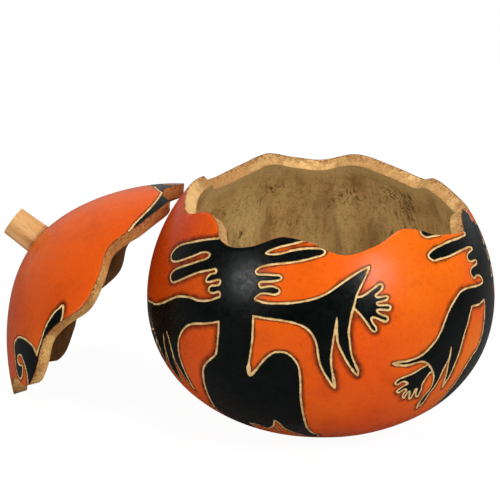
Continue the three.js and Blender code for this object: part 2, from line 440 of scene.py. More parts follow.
right = right_left + far_side(front_right) + right_top + [unseen((346, 49), (336, 52))]
small_hand = [
    photo(
        (429, 364.8), (422.9, 368.1), (416.7, 371.9), (410.6, 375), (404.5, 377.3),
        (399.1, 379.6), (396.5, 381.9), (395.7, 383.4), (397.6, 385), (401.4, 382.7),
        (405.3, 381.9), (408.3, 384.2), (405.3, 385.7), (401.4, 388), (398.4, 390.3),
        (397.2, 391.8), (399.1, 393), (402.2, 391.1), (406, 389.5), (406.8, 391.1),
        (404.5, 393.4), (403, 396.4), (404.1, 398.7), (406, 395.7), (408.3, 392.6),
        (410.2, 391.8), (409.8, 395.7), (409.5, 398.7), (410.6, 399.5), (412.9, 395.7),
        (414.8, 392.6), (416, 389.5), (417.5, 389.5), (416.4, 393.4), (416.7, 396.8),
        (418.3, 397.2), (419.8, 394.1), (421.7, 390.3), (422.9, 385), (425.9, 379.6), (429, 375),
        (433, 371.2),
    )
]
right_chip = [
    photo(
        (420.2, 228), (420.6, 231), (421.7, 233.7), (424.4, 236), (428.2, 237.1), (432.8, 236),
        (440, 234.8),
    ),
    unseen((318, 52), (309.6, 51)),
]
crack = [photo((274.4, 427), (279.8, 431.7))]

far_small_hand = turned(small_hand, SMALL_HAND_TURN)
bowl_figures = [
    front, hand, far_small_hand, right, turned(hand, RIGHT_TURN), small_hand, right_chip,
    turned(front, BACK_TURN), turned(hand, BACK_TURN), turned(far_small_hand, BACK_TURN),
]

lid_front = [
    photo(
        (59.5, 326), (60.9, 320.4), (62.2, 315.3), (62.9, 309), (62.6, 305.6), (61, 305.8),
        (59.3, 307.7), (54.8, 311.5), (51, 316.6), (47.8, 321.7), (44.6, 328), (42.1, 335.1),
        (39.5, 343.4), (37.6, 349.1), (36.2, 354.8), on_lid=True,
    ),
    photo(
        (36.2, 354.8), (34.4, 350.4), (31.9, 345.9), (28.1, 342.1), (24.2, 338.9), (20.4, 337.3),
        (17.2, 337.3), (15, 340.2), (13.7, 344.6), (13.7, 348.5), (14.2, 354.2), (14.7, 360.6),
        (15.6, 367), (16.6, 373.3), (18.5, 377.8), (19.8, 379.1), (21.2, 377.2), (21.9, 372),
        (22.2, 367.6), (21.4, 365.4), (19.5, 365.2), (17.6, 362.5), (16.9, 358), (17.5, 355.8),
        (19.1, 354.8), (20.9, 356), (22.1, 359.5), (23.9, 364), (25.5, 369.5), (26.9, 376.5),
        (27.4, 384.8), (27.4, 389), on_lid=True,
    ),
    unseen((231, 75), (266, 75)),
]
lid_right = [
    photo(
        (128.5, 230.5), (131.1, 228), (134.2, 223.6), (138.1, 219.7), (143.2, 214.6),
        (148.3, 209.5), (152.6, 204.8), (156.4, 200.2), (159.6, 195.8), (161.8, 192), on_lid=True,
    ),
    photo((161.8, 192), (159.4, 190.6), (156.8, 188.4), (154.3, 186), on_lid=True),
    chart(
        (354.2, 48.8), (357, 47.1), (360.4, 46.4), (364, 47.4), (367, 50.5), (368, 54.8),
        (366.8, 58.2), (364.6, 59.6), (363.6, 57.8), (363.4, 55.4), (364, 53.6), (362.8, 52.2),
        (360.6, 51.5), (358.6, 52.3), (357.6, 54.2), (358.2, 57), (359.5, 62),
    ),
    unseen((359.5, 80), (312, 80)),
]
lid_figures = [lid_front, lid_right, turned(lid_front, BACK_TURN)]

LINE_WIDTH = 0.88          # carved line, mm
FINEST_LINE = 0.1          # half width of a line at a sharp end, mm
FAR = 6                    # how far from a line the distance is kept, mm
RIGHT_STARTS = 293         # azimuth of the right figure's start; figures before it are also behind
# Where the carver's line is broader or finer: photo pixel, and change of half the width in mm.
BROAD_REACH = 1.7          # mm
BOWL_BROAD = (
    ((249.8, 368.5), 0.5), ((249.4, 373), 0.35), ((249, 380), -0.75), ((333.9, 380), 0.25),
    ((334.8, 385), 0.15), ((336, 392), -0.6), ((356, 368.5), 0.12), ((358.6, 379.5), -0.6),
    ((192, 386), 0.1), ((398, 364.3), 0.3), ((419, 405), 0.25), ((415.6, 411), -0.5),
    ((444.5, 382), 0.25), ((442.2, 390.5), -0.5), ((452, 345), -0.35), ((366, 269), 0.15),
    ((371, 264.5), -0.3), ((337.1, 315), -0.45),
)
LID_BROAD = (((36.6, 352), 0.35), ((166, 194.6), 0.2), ((132, 227), 0.2), ((61.8, 307), 0.15))


def dense(points, gap=0.25):
    """The stroke on the gourd's skin, with points at most gap apart."""
    at = spot(skin(points[:, 1]), points[:, 1], points[:, 0])
    parts = []
    for a, b in zip(at, at[1:]):
        count = max(1, math.ceil(np.linalg.norm(b - a) / gap))
        parts.append(a + (b - a) * (np.arange(count) / count)[:, None])
    parts.append(at[-1:])
    return np.vstack(parts)


class Carving:
    """The strokes of one shell: distance to them, their width and what their figures enclose."""

    def __init__(self, figures, loose, broad, on_lid):
        """Loose figures are carved but enclose nothing."""
        strokes = [s for figure in figures + loose for s in figure if s[1]]
        runs = [dense(points) for points, _ in strokes]
        widths = np.concatenate([np.full(len(run), s[1]) for run, s in zip(runs, strokes)])
        self.points = np.vstack(runs)
        self.last = np.zeros(len(self.points), bool)
        self.last[np.cumsum([len(r) for r in runs]) - 1] = True
        self.tree = kdtree.KDTree(len(self.points))
        for i, p in enumerate(self.points):
            self.tree.insert(p, i)
        self.tree.balance()
        # A line cut by hand is a little uneven, over long and over short stretches.
        half = np.array([
            0.5 + 0.11 * noise.noise(Vector(p) * 0.35) + 0.09 * noise.noise(Vector(p) * 1.3)
            for p in self.points
        ])
        half *= LINE_WIDTH * widths
        for pixel, change in broad:
            azimuth, polar = cast([pixel], on_lid)[0]
            for turn in (0, BACK_TURN) if azimuth < RIGHT_STARTS else (0,):
                away = np.linalg.norm(self.points - spot(skin(polar), polar, azimuth + turn), axis=1)
                half += change * np.exp(-((away / BROAD_REACH) ** 2))
        self.half = np.maximum(half, FINEST_LINE)
        self.outlines = [np.vstack([points for points, _ in figure]) for figure in figures]

    def distance(self, points):
        """Distance from each point to the nearest line, and half the line's width there."""
        reach = np.full(len(points), float(FAR))
        half = np.full(len(points), LINE_WIDTH / 2)
        for n, p in enumerate(points):
            _, i, d = self.tree.find(p)
            half[n] = self.half[i]
            if d > FAR:
                continue
            for j in (i - 1, i):
                if 0 <= j < len(self.points) - 1 and not self.last[j]:
                    a, b = self.points[j], self.points[j + 1]
                    t = min(max(np.dot(p - a, b - a) / max(np.dot(b - a, b - a), 1e-9), 0), 1)
                    d = min(d, float(np.linalg.norm(p - a - (b - a) * t)))
            reach[n] = d
        return reach, half

    def black(self, azimuth, polar):
        """Which points lie within a figure."""
        result = np.zeros(len(azimuth), bool)
        for outline in self.outlines:
            middle = (outline[:, 0].min() + outline[:, 0].max()) / 2
            x = middle + (azimuth - middle + 180) % 360 - 180
            at = np.stack([x, polar], axis=1)
            close = (at >= outline.min(axis=0)) & (at <= outline.max(axis=0))
            near = np.nonzero(close.all(axis=1))[0]
            odd = np.zeros(len(near), bool)
            px, py = x[near], polar[near]
            for (x0, y0), (x1, y1) in zip(outline, np.roll(outline, -1, axis=0)):
                if y0 != y1:
                    side = (x1 - x0) * (py - y0) / (y1 - y0) + x0
                    odd ^= ((y0 > py) != (y1 > py)) & (px < side)
            result[near] |= odd
        return result


bowl_carving = Carving(bowl_figures, [crack], BOWL_BROAD, on_lid=False)
lid_carving = Carving(lid_figures, [], LID_BROAD, on_lid=True)

# ---- Shells ------------------------------------------------------------------------------------
SKIN, EDGE, OTHER = 0, 1, 2               # kinds of points: on the skin, on its cut edge, elsewhere
OUTSIDE, SAWN, INSIDE = 0, 1, 2           # material of a face
EASED = 0.3                               # rounding of the sawn edges, mm
SAWN_BACK = 0.12                          # how far the sawn face lies behind its edges, mm
FINE = 0.4                                # size of the faces along a carved line, mm
FINE_BELT, COARSER = 0.55, 0.42           # past this distance faces grow, by this share of it
SPLIT_OVER = 1.3                          # a side longer than this times the wanted size is split
SPLIT_ROUNDS = 6
GROOVE = 0.28                             # depth of a carved line, mm
WIDE_DENTS, SMALL_DENTS = 0.16, 0.03      # mean depth of the dents in the skin, mm
RIBS = 0.38                               # height of the ribs inside, mm
AROUND = 288                              # points in each ring
BOWL_ROWS, BOWL_INSIDE_ROWS = 76, 62
LID_ROWS, LID_INSIDE_ROWS = 46, 40
FOOT_SHARES = (0.5, 0.85)                 # rings under the foot, as shares of its radius
SAWN_SHARES = (0.05, 0.2, 0.36, 0.52, 0.68, 0.84, 0.95)   # rings on the sawn face, across the wall
INSIDE_POLE, OUTSIDE_POLE = 3, 2          # degrees between a pole and its nearest ring


def placed(name, data):
    """A new object in the scene."""
    item = bpy.data.objects.new(name, data)
    bpy.context.scene.collection.objects.link(item)
    return item


def uneven(points, scale, seed):
    """Smooth noise between -1 and 1 at each point."""
    shift = Vector((seed * 17.3, seed * 5.1, seed * 9.7))
    return np.array([noise.noise(Vector(p) * scale + shift) for p in points])


def grid(rows, first_pole, last_pole):
    """Points, kinds, faces and materials of a closed shell over rings of points.
    Each row is (points, kind of the points, material of the faces up to the next row)."""
    size = len(rows[0][0])
    points = np.vstack([[first_pole]] + [r[0] for r in rows] + [[last_pole]])
    kinds = np.concatenate([[OTHER]] + [np.full(size, r[1]) for r in rows] + [[OTHER]])
    j = np.arange(size)
    k = (j + 1) % size
    faces = [np.stack([0 * j, 1 + k, 1 + j], axis=1)]
    slots = [np.full(size, rows[0][2])]
    for i in range(len(rows) - 1):
        a, b = 1 + i * size + j, 1 + i * size + k
        faces += [np.stack([a, b, b + size], axis=1), np.stack([a, b + size, a + size], axis=1)]
        slots.append(np.full(2 * size, rows[i][2]))
    top = 1 + (len(rows) - 1) * size
    faces.append(np.stack([np.full(size, len(points) - 1), top + j, top + k], axis=1))
    slots.append(np.full(size, rows[-1][2]))
    return points, kinds, np.vstack(faces), np.concatenate(slots)


def refine(points, kinds, faces, slots, carving, edge_at):
    """Splits the skin's faces along the carved lines, until their sides are FINE there."""
    reach, _ = carving.distance(points)
    reach[kinds == OTHER] = FAR
    for _ in range(SPLIT_ROUNDS):
        sides = np.sort(faces[:, [0, 1, 1, 2, 2, 0]].reshape(-1, 2), axis=1)
        pairs, inverse = np.unique(sides, axis=0, return_inverse=True)
        a, b = pairs.T
        length = np.linalg.norm(points[a] - points[b], axis=1)
        near = np.minimum(reach[a], reach[b]) - length / 2
        wanted = FINE + COARSER * np.maximum(near - FINE_BELT, 0)
        split = (kinds[a] != OTHER) & (kinds[b] != OTHER) & (length > SPLIT_OVER * wanted)
        if not split.any():
            break
        a, b = a[split], b[split]
        middle = (points[a] + points[b]) / 2
        on_edge = (kinds[a] == EDGE) & (kinds[b] == EDGE)
        azimuth, polar = angles_of(middle)
        polar = np.where(on_edge, edge_at(azimuth), polar)
        middle = spot(skin(polar), polar, azimuth)
        number = np.full(len(pairs), -1)
        number[split] = len(points) + np.arange(len(middle))
        points = np.vstack([points, middle])
        kinds = np.concatenate([kinds, np.where(on_edge, EDGE, SKIN)])
        reach = np.concatenate([reach, carving.distance(middle)[0]])
        mid = number[inverse.reshape(-1)].reshape(-1, 3)
        new_faces, new_slots = [], []
        marks = (mid >= 0).sum(axis=1)
        for count in range(4):
            f, m, s = faces[marks == count], mid[marks == count], slots[marks == count]
            if count in (1, 2):
                first = (m >= 0).argmax(axis=1) if count == 1 else ((m < 0).argmax(axis=1) + 1) % 3
                order = (first[:, None] + np.arange(3)) % 3
                f, m = np.take_along_axis(f, order, 1), np.take_along_axis(m, order, 1)
            (p, q, r), (pq, qr, rp) = f.T, m.T
            pieces = {
                0: [(p, q, r)],
                1: [(p, pq, r), (pq, q, r)],
                2: [(pq, q, qr), (p, pq, qr), (p, qr, r)],
                3: [(p, pq, rp), (pq, q, qr), (rp, qr, r), (pq, qr, rp)],
            }[count]
            new_faces += [np.stack(piece, axis=1) for piece in pieces]
            new_slots += [s] * len(pieces)
        faces, slots = np.vstack(new_faces), np.concatenate(new_slots)
    return points, kinds, faces, slots


def make_shell(name, rows, poles, carving, edge_at, place):
    """One closed mesh with its carving as attributes: ink (mm, below 0 in a black figure), line (mm
    from the side of the nearest line, below 0 on it), depth (mm from the sawn edge) and across (mm
    from the outer skin)."""
    points, kinds, faces, slots = refine(*grid(rows, *poles), carving, edge_at)
    azimuth, polar = angles_of(points)
    length = np.linalg.norm(points, axis=1)
    deep = np.abs(polar - cut_polar(azimuth)) * DEGREE * length
    across = skin(polar) - length
    skinned = kinds != OTHER
    azimuth, polar = azimuth[skinned], polar[skinned]
    reach, half = carving.distance(points[skinned])
    ink, line = np.full((2, len(points)), float(FAR))
    ink[skinned] = np.where(carving.black(azimuth, polar), -reach, reach)
    line[skinned] = reach - half
    # Grooves, and the small dents of a grown shell, go inwards.
    groove = GROOVE * (1 - smooth_step(reach, half * 0.35, half + 0.12))
    dents = WIDE_DENTS * (1 + uneven(points[skinned], 0.045, 1))
    dents += SMALL_DENTS * (1 + uneven(points[skinned], 0.4, 2))
    inward = np.zeros(len(points))
    inward[skinned] = groove + dents * smooth_step(FOOT_POLAR - polar, 1, 12)
    points = points * (1 - inward / length)[:, None]
    mesh = bpy.data.meshes.new(name)
    mesh.from_pydata((points * MM).tolist(), [], faces.tolist())
    mesh.polygons.foreach_set("material_index", slots.astype(np.int32))
    mesh.validate()
    for key, values in (("ink", ink), ("line", line), ("depth", deep), ("across", across)):
        layer = mesh.attributes.new(key, "FLOAT", "POINT")
        layer.data.foreach_set("value", values.astype(np.float32))
    mesh.shade_smooth()
    mesh.set_sharp_from_angle(angle=50 * DEGREE)
    mesh.transform(place)
    return placed(name, mesh)


columns = np.arange(AROUND) * 360 / AROUND
cut = cut_polar(columns)


def steps(first, last, count):
    """Even steps from first to last, both included."""
    return [first + (last - first) * i / count for i in range(count + 1)]


def outside_rows(first, last, count):
    """Rows up the skin."""
    polars = steps(first, last, count)
    return [(spot(skin(polar), polar, columns), SKIN, OUTSIDE) for polar in polars]


def sawn_rows(cut_at, down, radii, seed):
    """Rows across the sawn face, from one side of the wall to the other. It lies further down than
    the cut on the bowl (down is 1) and further up on the lid (-1)."""
    rows = []
    for share in SAWN_SHARES:
        radius = radii[0] + (radii[1] - radii[0]) * share
        ring = spot(radius, cut_at, columns)
        rough = 0.10 * uneven(ring, 0.9, seed) + 0.12 * uneven(ring, 0.25, seed + 1)
        polar = cut_at + down * (SAWN_BACK + rough) / radius / DEGREE
        rows.append((spot(radius, polar, columns), OTHER, SAWN))
    return rows


def inside_rows(edge, pole, count):
    """Rows of the inside, with the soft upright ribs and pits that a dried gourd keeps. They fade
    out towards the sawn edge and towards the pole."""
    rows = []
    for i, polar in enumerate(steps(edge, pole, count)):
        # The ribs are noise on a tube, which changes little from top to bottom.
        x, y = np.cos(columns * DEGREE) * 40, np.sin(columns * DEGREE) * 40
        drawn_out = np.stack([x, y, polar * 0.22], axis=1)
        ribs = uneven(drawn_out, 0.16, 5) + 0.6 * uneven(drawn_out, 0.5, 6)
        fade = smooth_step(i / count, 0.01, 0.08) * smooth_step(1 - i / count, 0, 0.1)
        radius = skin(polar) - wall(polar) + fade * RIBS * (ribs - 0.9)
        rows.append((spot(radius, polar, columns), OTHER, INSIDE))
    return rows


# Bowl: foot, outside, sawn face, inside.
bowl_edge = lower(cut, EASED)
foot = [spot(share * FOOT_RADIUS, np.full(AROUND, 90.0), columns) for share in FOOT_SHARES]
outside = outside_rows(FOOT_POLAR, bowl_edge, BOWL_ROWS)
outside[-1] = (outside[-1][0], EDGE, SAWN)
bowl = make_shell(
    "bowl_shell",
    [(ring - [0, 0, WIDEST_LEVEL], OTHER, OUTSIDE) for ring in foot] + outside
    + sawn_rows(cut, 1, (skin(cut), skin(cut) - wall(cut)), 10)
    + inside_rows(bowl_edge, 180 - INSIDE_POLE, BOWL_INSIDE_ROWS),
    ([0, 0, -WIDEST_LEVEL], [0, 0, -float(skin(180) - wall(180))]),
    bowl_carving,
    lambda azimuth: lower(cut_polar(azimuth), EASED),
    Matrix.Translation((0, 0, WIDEST_LEVEL * MM)),
)
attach(bowl, "bowl_body")
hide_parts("bowl")

# Lid: inside from the crown down, sawn face, outside back up.
lid_cut = lower(cut, -SAW_KERF)
lid_edge = lower(lid_cut, -EASED)
inside = inside_rows(lid_edge, INSIDE_POLE, LID_INSIDE_ROWS)[::-1]
inside[-1] = (inside[-1][0], OTHER, SAWN)
outside = outside_rows(lid_edge, OUTSIDE_POLE, LID_ROWS)
outside[0] = (outside[0][0], EDGE, OUTSIDE)
lid_matrix = Matrix.Translation(Vector(LID_PLACE) * MM) @ LID_TILT.to_4x4()
lid = make_shell(
    "lid_shell",
    inside + sawn_rows(lid_cut, -1, (skin(lid_cut) - wall(lid_cut), skin(lid_cut)), 20) + outside,
    ([0, 0, float(skin(0) - wall(0))], [0, 0, float(skin(0))]),
    lid_carving,
    lambda azimuth: lower(lower(cut_polar(azimuth), -SAW_KERF), -EASED),
    lid_matrix,
)
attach(lid, "lid_body")
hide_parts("lid")

# ---- Materials ---------------------------------------------------------------------------------
def colour(red, green, blue):
    """Linear colour from the 0 to 255 values seen on screen."""
    parts = (c / 255 for c in (red, green, blue))
    return [c / 12.92 if c <= 0.04045 else ((c + 0.055) / 1.055) ** 2.4 for c in parts] + [1]


def grey(level):
    return colour(level, level, level)


class Nodes:
    """Short ways to add and join the shader nodes of a material or of the world."""

    def __init__(self, owner, output="ShaderNodeOutputMaterial"):
        self.owner = owner
        owner.use_nodes = True
        self.tree = owner.node_tree
        self.tree.nodes.clear()
        self.output = self.add(output)
        self.places = self.add("ShaderNodeTexCoord").outputs

    def add(self, kind):
        return self.tree.nodes.new(kind)

    def fill(self, node, values):
        """Sets or joins the sockets of a node, given by their names or numbers."""
        for key, value in values.items():
            if isinstance(value, bpy.types.NodeSocket):
                self.tree.links.new(value, node.inputs[key])
            else:
                node.inputs[key].default_value = value
        return node

    def surface(self, shader):
        self.fill(self.output, {"Surface": shader.outputs[0]})
        return self.owner

    def math(self, operation, *values):
        node = self.add("ShaderNodeMath")
        node.operation = operation
        return self.fill(node, dict(enumerate(values))).outputs[0]

    def times(self, a, b):
        return self.math("MULTIPLY", a, b)

    def total(self, *parts):
        """Sum of values, each times its weight."""
        result = 0.0
        for value, weight in parts:
            result = self.math("MULTIPLY_ADD", value, weight, result)
        return result

    def ramp(self, value, low, high, to_low=0.0, to_high=1.0, smooth=True):
        node = self.add("ShaderNodeMapRange")
        node.interpolation_type = "SMOOTHSTEP" if smooth else "LINEAR"
        self.fill(node, {"Value": value, "From Min": low, "From Max": high})
        return self.fill(node, {"To Min": to_low, "To Max": to_high}).outputs["Result"]

    def mix(self, share, a, b):
        node = self.add("ShaderNodeMix")
        node.data_type = "RGBA"
        return self.fill(node, {0: share, 6: a, 7: b}).outputs[2]

    def pick(self, share, a, b):
        """Mixes two numbers."""
        return self.fill(self.add("ShaderNodeMix"), {0: share, 2: a, 3: b}).outputs[0]

    def upright(self, share):
        """The place with its height scaled, so that noise on it is drawn out upright."""
        values = {"Vector": self.places["Object"], "Scale": (1, 1, share)}
        return self.fill(self.add("ShaderNodeMapping"), values).outputs["Vector"]

    def noise(self, scale, detail=3.0, rough=0.55, place=None, distortion=0.0):
        values = {"Scale": scale, "Detail": detail, "Roughness": rough, "Distortion": distortion}
        node = self.fill(self.add("ShaderNodeTexNoise"), values)
        return self.fill(node, {"Vector": place or self.places["Object"]}).outputs["Fac"]

    def attribute(self, name):
        node = self.add("ShaderNodeAttribute")
        node.attribute_name = name
        return node.outputs["Fac"]

    def axis(self, which, place="Object"):
        return self.fill(self.add("ShaderNodeSeparateXYZ"), {0: self.places[place]}).outputs[which]

    def bump(self, height, distance, strength):
        values = {"Height": height, "Distance": distance, "Strength": strength}
        return self.fill(self.add("ShaderNodeBump"), values).outputs["Normal"]

    def finish(self, base, roughness, normal, specular):
        shader = self.add("ShaderNodeBsdfPrincipled")
        self.fill(shader, {"Base Color": base, "Roughness": roughness, "Normal": normal})
        return self.surface(self.fill(shader, {"Specular IOR Level": specular}))


def dyed_skin(name, bright, deep, dark, tint):
    """Orange dye on gourd skin with painted light and shade from the tint, black figures, pale
    carved lines with a scorched edge.
    """
    n = Nodes(bpy.data.materials.new(name))
    speck = n.noise(520, 3, 0.65)
    drawn = n.noise(60, 3, 0.55, n.upright(0.22))
    flecks = n.noise(900, 2)
    # The tint paints light and shade onto the dye by place.
    orange = tint(n, n.mix(n.ramp(n.noise(14, 2), 0.36, 0.66), bright, deep))
    orange = n.mix(n.ramp(n.noise(75, 4, 0.6), 0.44, 0.74, 0, 0.3), orange, dark)
    orange = n.mix(n.ramp(drawn, 0.5, 0.75, 0, 0.2), orange, deep)
    orange = n.mix(n.ramp(speck, 0.52, 0.74, 0, 0.22), orange, dark)
    orange = n.mix(n.ramp(flecks, 0.3, 0.5, 0.35, 0), orange, bright)
    # The side of a carved line is a little ragged.
    line = n.math("ADD", n.attribute("line"), n.times(n.math("SUBTRACT", flecks, 0.5), 0.3))
    # Scorch on the orange beside a line: a dark seam, and soot that is wide in some places.
    spread = n.ramp(n.noise(30, 3, 0.6), 0.36, 0.64, 0.8, 3.0)
    soot = n.ramp(n.math("DIVIDE", line, spread), 0, 1, 1, 0)
    soot = n.times(soot, n.ramp(n.noise(330), 0.3, 0.65, 0.55, 1))
    seam = n.times(n.ramp(line, 0.1, 0.6, 1, 0), n.ramp(n.noise(210), 0.35, 0.6, 0.7, 1))
    orange = n.mix(n.math("MAXIMUM", soot, seam), orange, colour(62, 12, 3))
    black = n.mix(n.ramp(n.noise(120, 4, 0.6), 0.35, 0.75), colour(2, 7, 5), colour(9, 15, 13))
    black = n.mix(n.ramp(speck, 0.6, 0.8, 0, 0.5), black, colour(30, 34, 28))
    base = n.mix(n.ramp(n.attribute("ink"), -0.06, 0.06, smooth=False), black, orange)
    pale = n.mix(n.ramp(n.noise(300), 0.36, 0.72), colour(246, 212, 150), colour(206, 156, 92))
    pale = n.mix(n.ramp(line, -0.16, 0.05, 0, 0.45), pale, colour(132, 84, 40))
    carved = n.ramp(line, -0.07, 0.05, 1, 0)
    base = n.mix(carved, base, pale)
    rough = n.ramp(n.noise(400, 3, 0.7), 0.3, 0.7, 0.24, 0.38)
    rough = n.math("MAXIMUM", rough, n.times(carved, 0.75))
    height = n.total((n.noise(260), 0.12), (drawn, 0.35), (n.ramp(line, -0.35, 0.1), 0.55))
    return n.finish(base, rough, n.bump(height, 0.0004, 0.5), 0.2)


def sawn_shell(name, pale, brown, dark, streaked, tint):
    """Raw sawn shell: tan with brown mottles, most of them near the skin, whose dye stains it. The
    tint gives the colour under the mottles, with painted shade in places, and the share of the
    mottles that shows."""
    n = Nodes(bpy.data.materials.new(name))
    across = n.attribute("across")
    cloud = n.noise(300, 4, 0.7)
    pores = n.noise(900, 4, 0.75)
    base, worn = tint(n, n.mix(n.ramp(n.noise(38), 0.4, 0.66, 0, streaked), pale, brown))
    outer = n.times(n.ramp(across, 0.5, 4.5, 1, 0.35), worn)
    clumps = n.ramp(n.noise(170, 3, 0.6), 0.44, 0.58, 0, 0.55)
    base = n.mix(n.times(clumps, worn), base, brown)
    base = n.mix(n.times(n.ramp(cloud, 0.42, 0.64), outer), base, brown)
    base = n.mix(n.times(n.ramp(pores, 0.46, 0.64), outer), base, dark)
    stained = n.math("ADD", across, n.times(n.math("SUBTRACT", cloud, 0.5), 3))
    base = n.mix(n.ramp(stained, 0.1, 0.8, 0.85, 0), base, colour(104, 44, 20))
    height = n.total((pores, 0.5), (cloud, 0.5))
    return n.finish(base, 0.8, n.bump(height, 0.0005, 0.6), 0.2)


def fibre(name, rim, pale, brown, dark):
    """Dry inside: a smooth band under the edge, then ribs, creases, pits and upright fibres."""
    n = Nodes(bpy.data.materials.new(name))
    streak = n.noise(520, 4, 0.7, n.upright(0.35))
    broad = n.noise(40, 3, 0.6, n.upright(0.4))
    ribs = n.noise(75, 3, 0.55, n.upright(0.14))
    dashes = n.noise(560, 3, 0.6, n.upright(0.5))
    waves = n.noise(130, 3, 0.6, n.upright(0.3), 0.6)
    grain = n.noise(1000, 3, 0.7)
    fibrous = n.mix(n.ramp(broad, 0.38, 0.64), pale, brown)
    fibrous = n.mix(n.ramp(ribs, 0.5, 0.66, 0, 0.4), fibrous, dark)
    fibrous = n.mix(n.ramp(streak, 0.46, 0.7, 0, 0.35), fibrous, dark)
    marked = n.ramp(n.noise(55, 3, 0.5), 0.46, 0.6)
    pits = n.times(n.ramp(dashes, 0.55, 0.66), marked)
    fibrous = n.mix(n.times(pits, 0.65), fibrous, dark)
    wave = n.math("ABSOLUTE", n.math("SUBTRACT", waves, 0.5))
    crease = n.times(n.ramp(wave, 0, 0.022, 1, 0), marked)
    fibrous = n.mix(n.times(crease, 0.7), fibrous, dark)
    smooth = n.mix(n.ramp(streak, 0.5, 0.75, 0, 0.25), rim, brown)
    low = n.ramp(n.total((n.attribute("depth"), 1), (n.noise(60), 9)), 6, 15)
    base = n.mix(low, smooth, fibrous)
    base = n.mix(n.ramp(grain, 0.45, 0.7, 0, 0.35), base, dark)
    height = n.total((streak, 0.6), (grain, 0.3), (n.times(n.math("ADD", crease, pits), low), -1))
    return n.finish(base, 0.9, n.bump(height, 0.0009, 0.6), 0.1)


# Dark dye of the mottles; also the colour of the painted shade on the bowl's left and on the lid's
# outer side.
BOWL_DARK = colour(168, 42, 4)
LID_DARK = colour(160, 56, 14)


def bowl_painted_light(n, base):
    """Painted shade on the bowl's left, most of all near its rim, and painted light on its right."""
    x, z = n.axis("X"), n.axis("Z")
    # Painted shade: darker on the left, most of all near the rim.
    side = n.times(n.ramp(x, -0.024, -0.076, 0, 0.75), n.ramp(z, 0.030, 0.080, 0.3, 1))
    side = n.math("MAXIMUM", side, n.ramp(x, 0.016, -0.012, 0, 0.15))
    base = n.mix(side, base, BOWL_DARK)
    # Painted light, lighter and yellower, on the right shoulder.
    shoulder_light = n.times(n.ramp(x, 0.0, 0.045), n.ramp(z, 0.050, 0.085, 0, 0.4))
    shoulder_light = n.times(shoulder_light, n.ramp(x, 0.045, 0.070, 1, 0))
    # Painted light on the lower right and along the bottom.
    low = n.times(n.ramp(x, 0.020, 0.064, 0, 0.75), n.ramp(z, 0.045, 0.070, 1, 0))
    low = n.math("MAXIMUM", low, n.ramp(z, 0.018, 0.004, 0, 0.35))
    return n.mix(n.math("ADD", shoulder_light, low), base, colour(255, 128, 12))


def lid_painted_shade(n, base):
    """Painted shade towards the lid's outer side."""
    return n.mix(n.ramp(n.axis("X"), -0.105, -0.142, 0, 0.3), base, LID_DARK)


def key_step_and_shade(n, base):
    """The step that lines up the lid, on the bowl's left, is fresh and pale. Behind it, painted
    shade turns the sawn face brown.
    """
    x, y = n.axis("X"), n.axis("Y")
    # Painted shade on the sawn face behind the step.
    behind = n.times(n.ramp(x, -0.022, -0.036, 0, 0.7), n.ramp(y, 0.005, 0.02))
    base = n.mix(behind, base, colour(172, 118, 68))
    fresh = n.ramp(x, -0.050, -0.056)
    return n.mix(n.times(fresh, 0.85), base, colour(240, 196, 130)), n.ramp(fresh, 0, 1, 1, 0.25)


def lid_sawn_shade_and_foot(n, base):
    """The lid's sawn edge gets painted shade, redder and darker, towards its upper end, and is
    darker where it comes down to the floor.
    """
    z = n.axis("Z")
    # Darker where the edge comes down to the floor.
    base = n.mix(n.ramp(z, 0.012, 0.004, 0, 0.6), base, colour(120, 80, 46))
    # Painted shade, redder and darker, towards the upper end.
    return n.mix(n.ramp(z, 0.066, 0.092, 0, 0.75), base, colour(206, 120, 62)), 1.0


bowl_looks = (
    dyed_skin("dyed_gourd_skin", colour(249, 103, 5), colour(236, 83, 4), BOWL_DARK, bowl_painted_light),
    sawn_shell(
        "bowl_sawn_edge", colour(240, 194, 126), colour(184, 132, 78), colour(112, 70, 36), 0.6,
        key_step_and_shade,
    ),
    fibre(
        "bowl_fibre", colour(226, 202, 143), colour(230, 200, 137), colour(200, 161, 102),
        colour(104, 74, 40),
    ),
)
lid_looks = (
    dyed_skin("dyed_lid_skin", colour(238, 97, 8), colour(222, 81, 7), LID_DARK, lid_painted_shade),
    sawn_shell(
        "lid_sawn_edge", colour(252, 202, 122), colour(200, 138, 74), colour(106, 62, 32), 0.9,
        lid_sawn_shade_and_foot,
    ),
    fibre(
        "lid_fibre", colour(176, 132, 84), colour(166, 122, 78), colour(130, 92, 56),
        colour(78, 50, 28),
    ),
)
for shell, looks in ((bowl, bowl_looks), (lid, lid_looks)):
    for material in looks:
        shell.data.materials.append(material)


# ---- Stem --------------------------------------------------------------------------------------
STEM_SIDES, STEM_RINGS = 96, 26
STEM_SUNK = 0.25           # the foot is let into the crown by this much, mm
STEM_TOP = float(skin(0)) + STEM_HEIGHT
STEM_FOOT_SHADE = 1.2       # painted shade at the foot, from this far over the crown to as far under it, mm
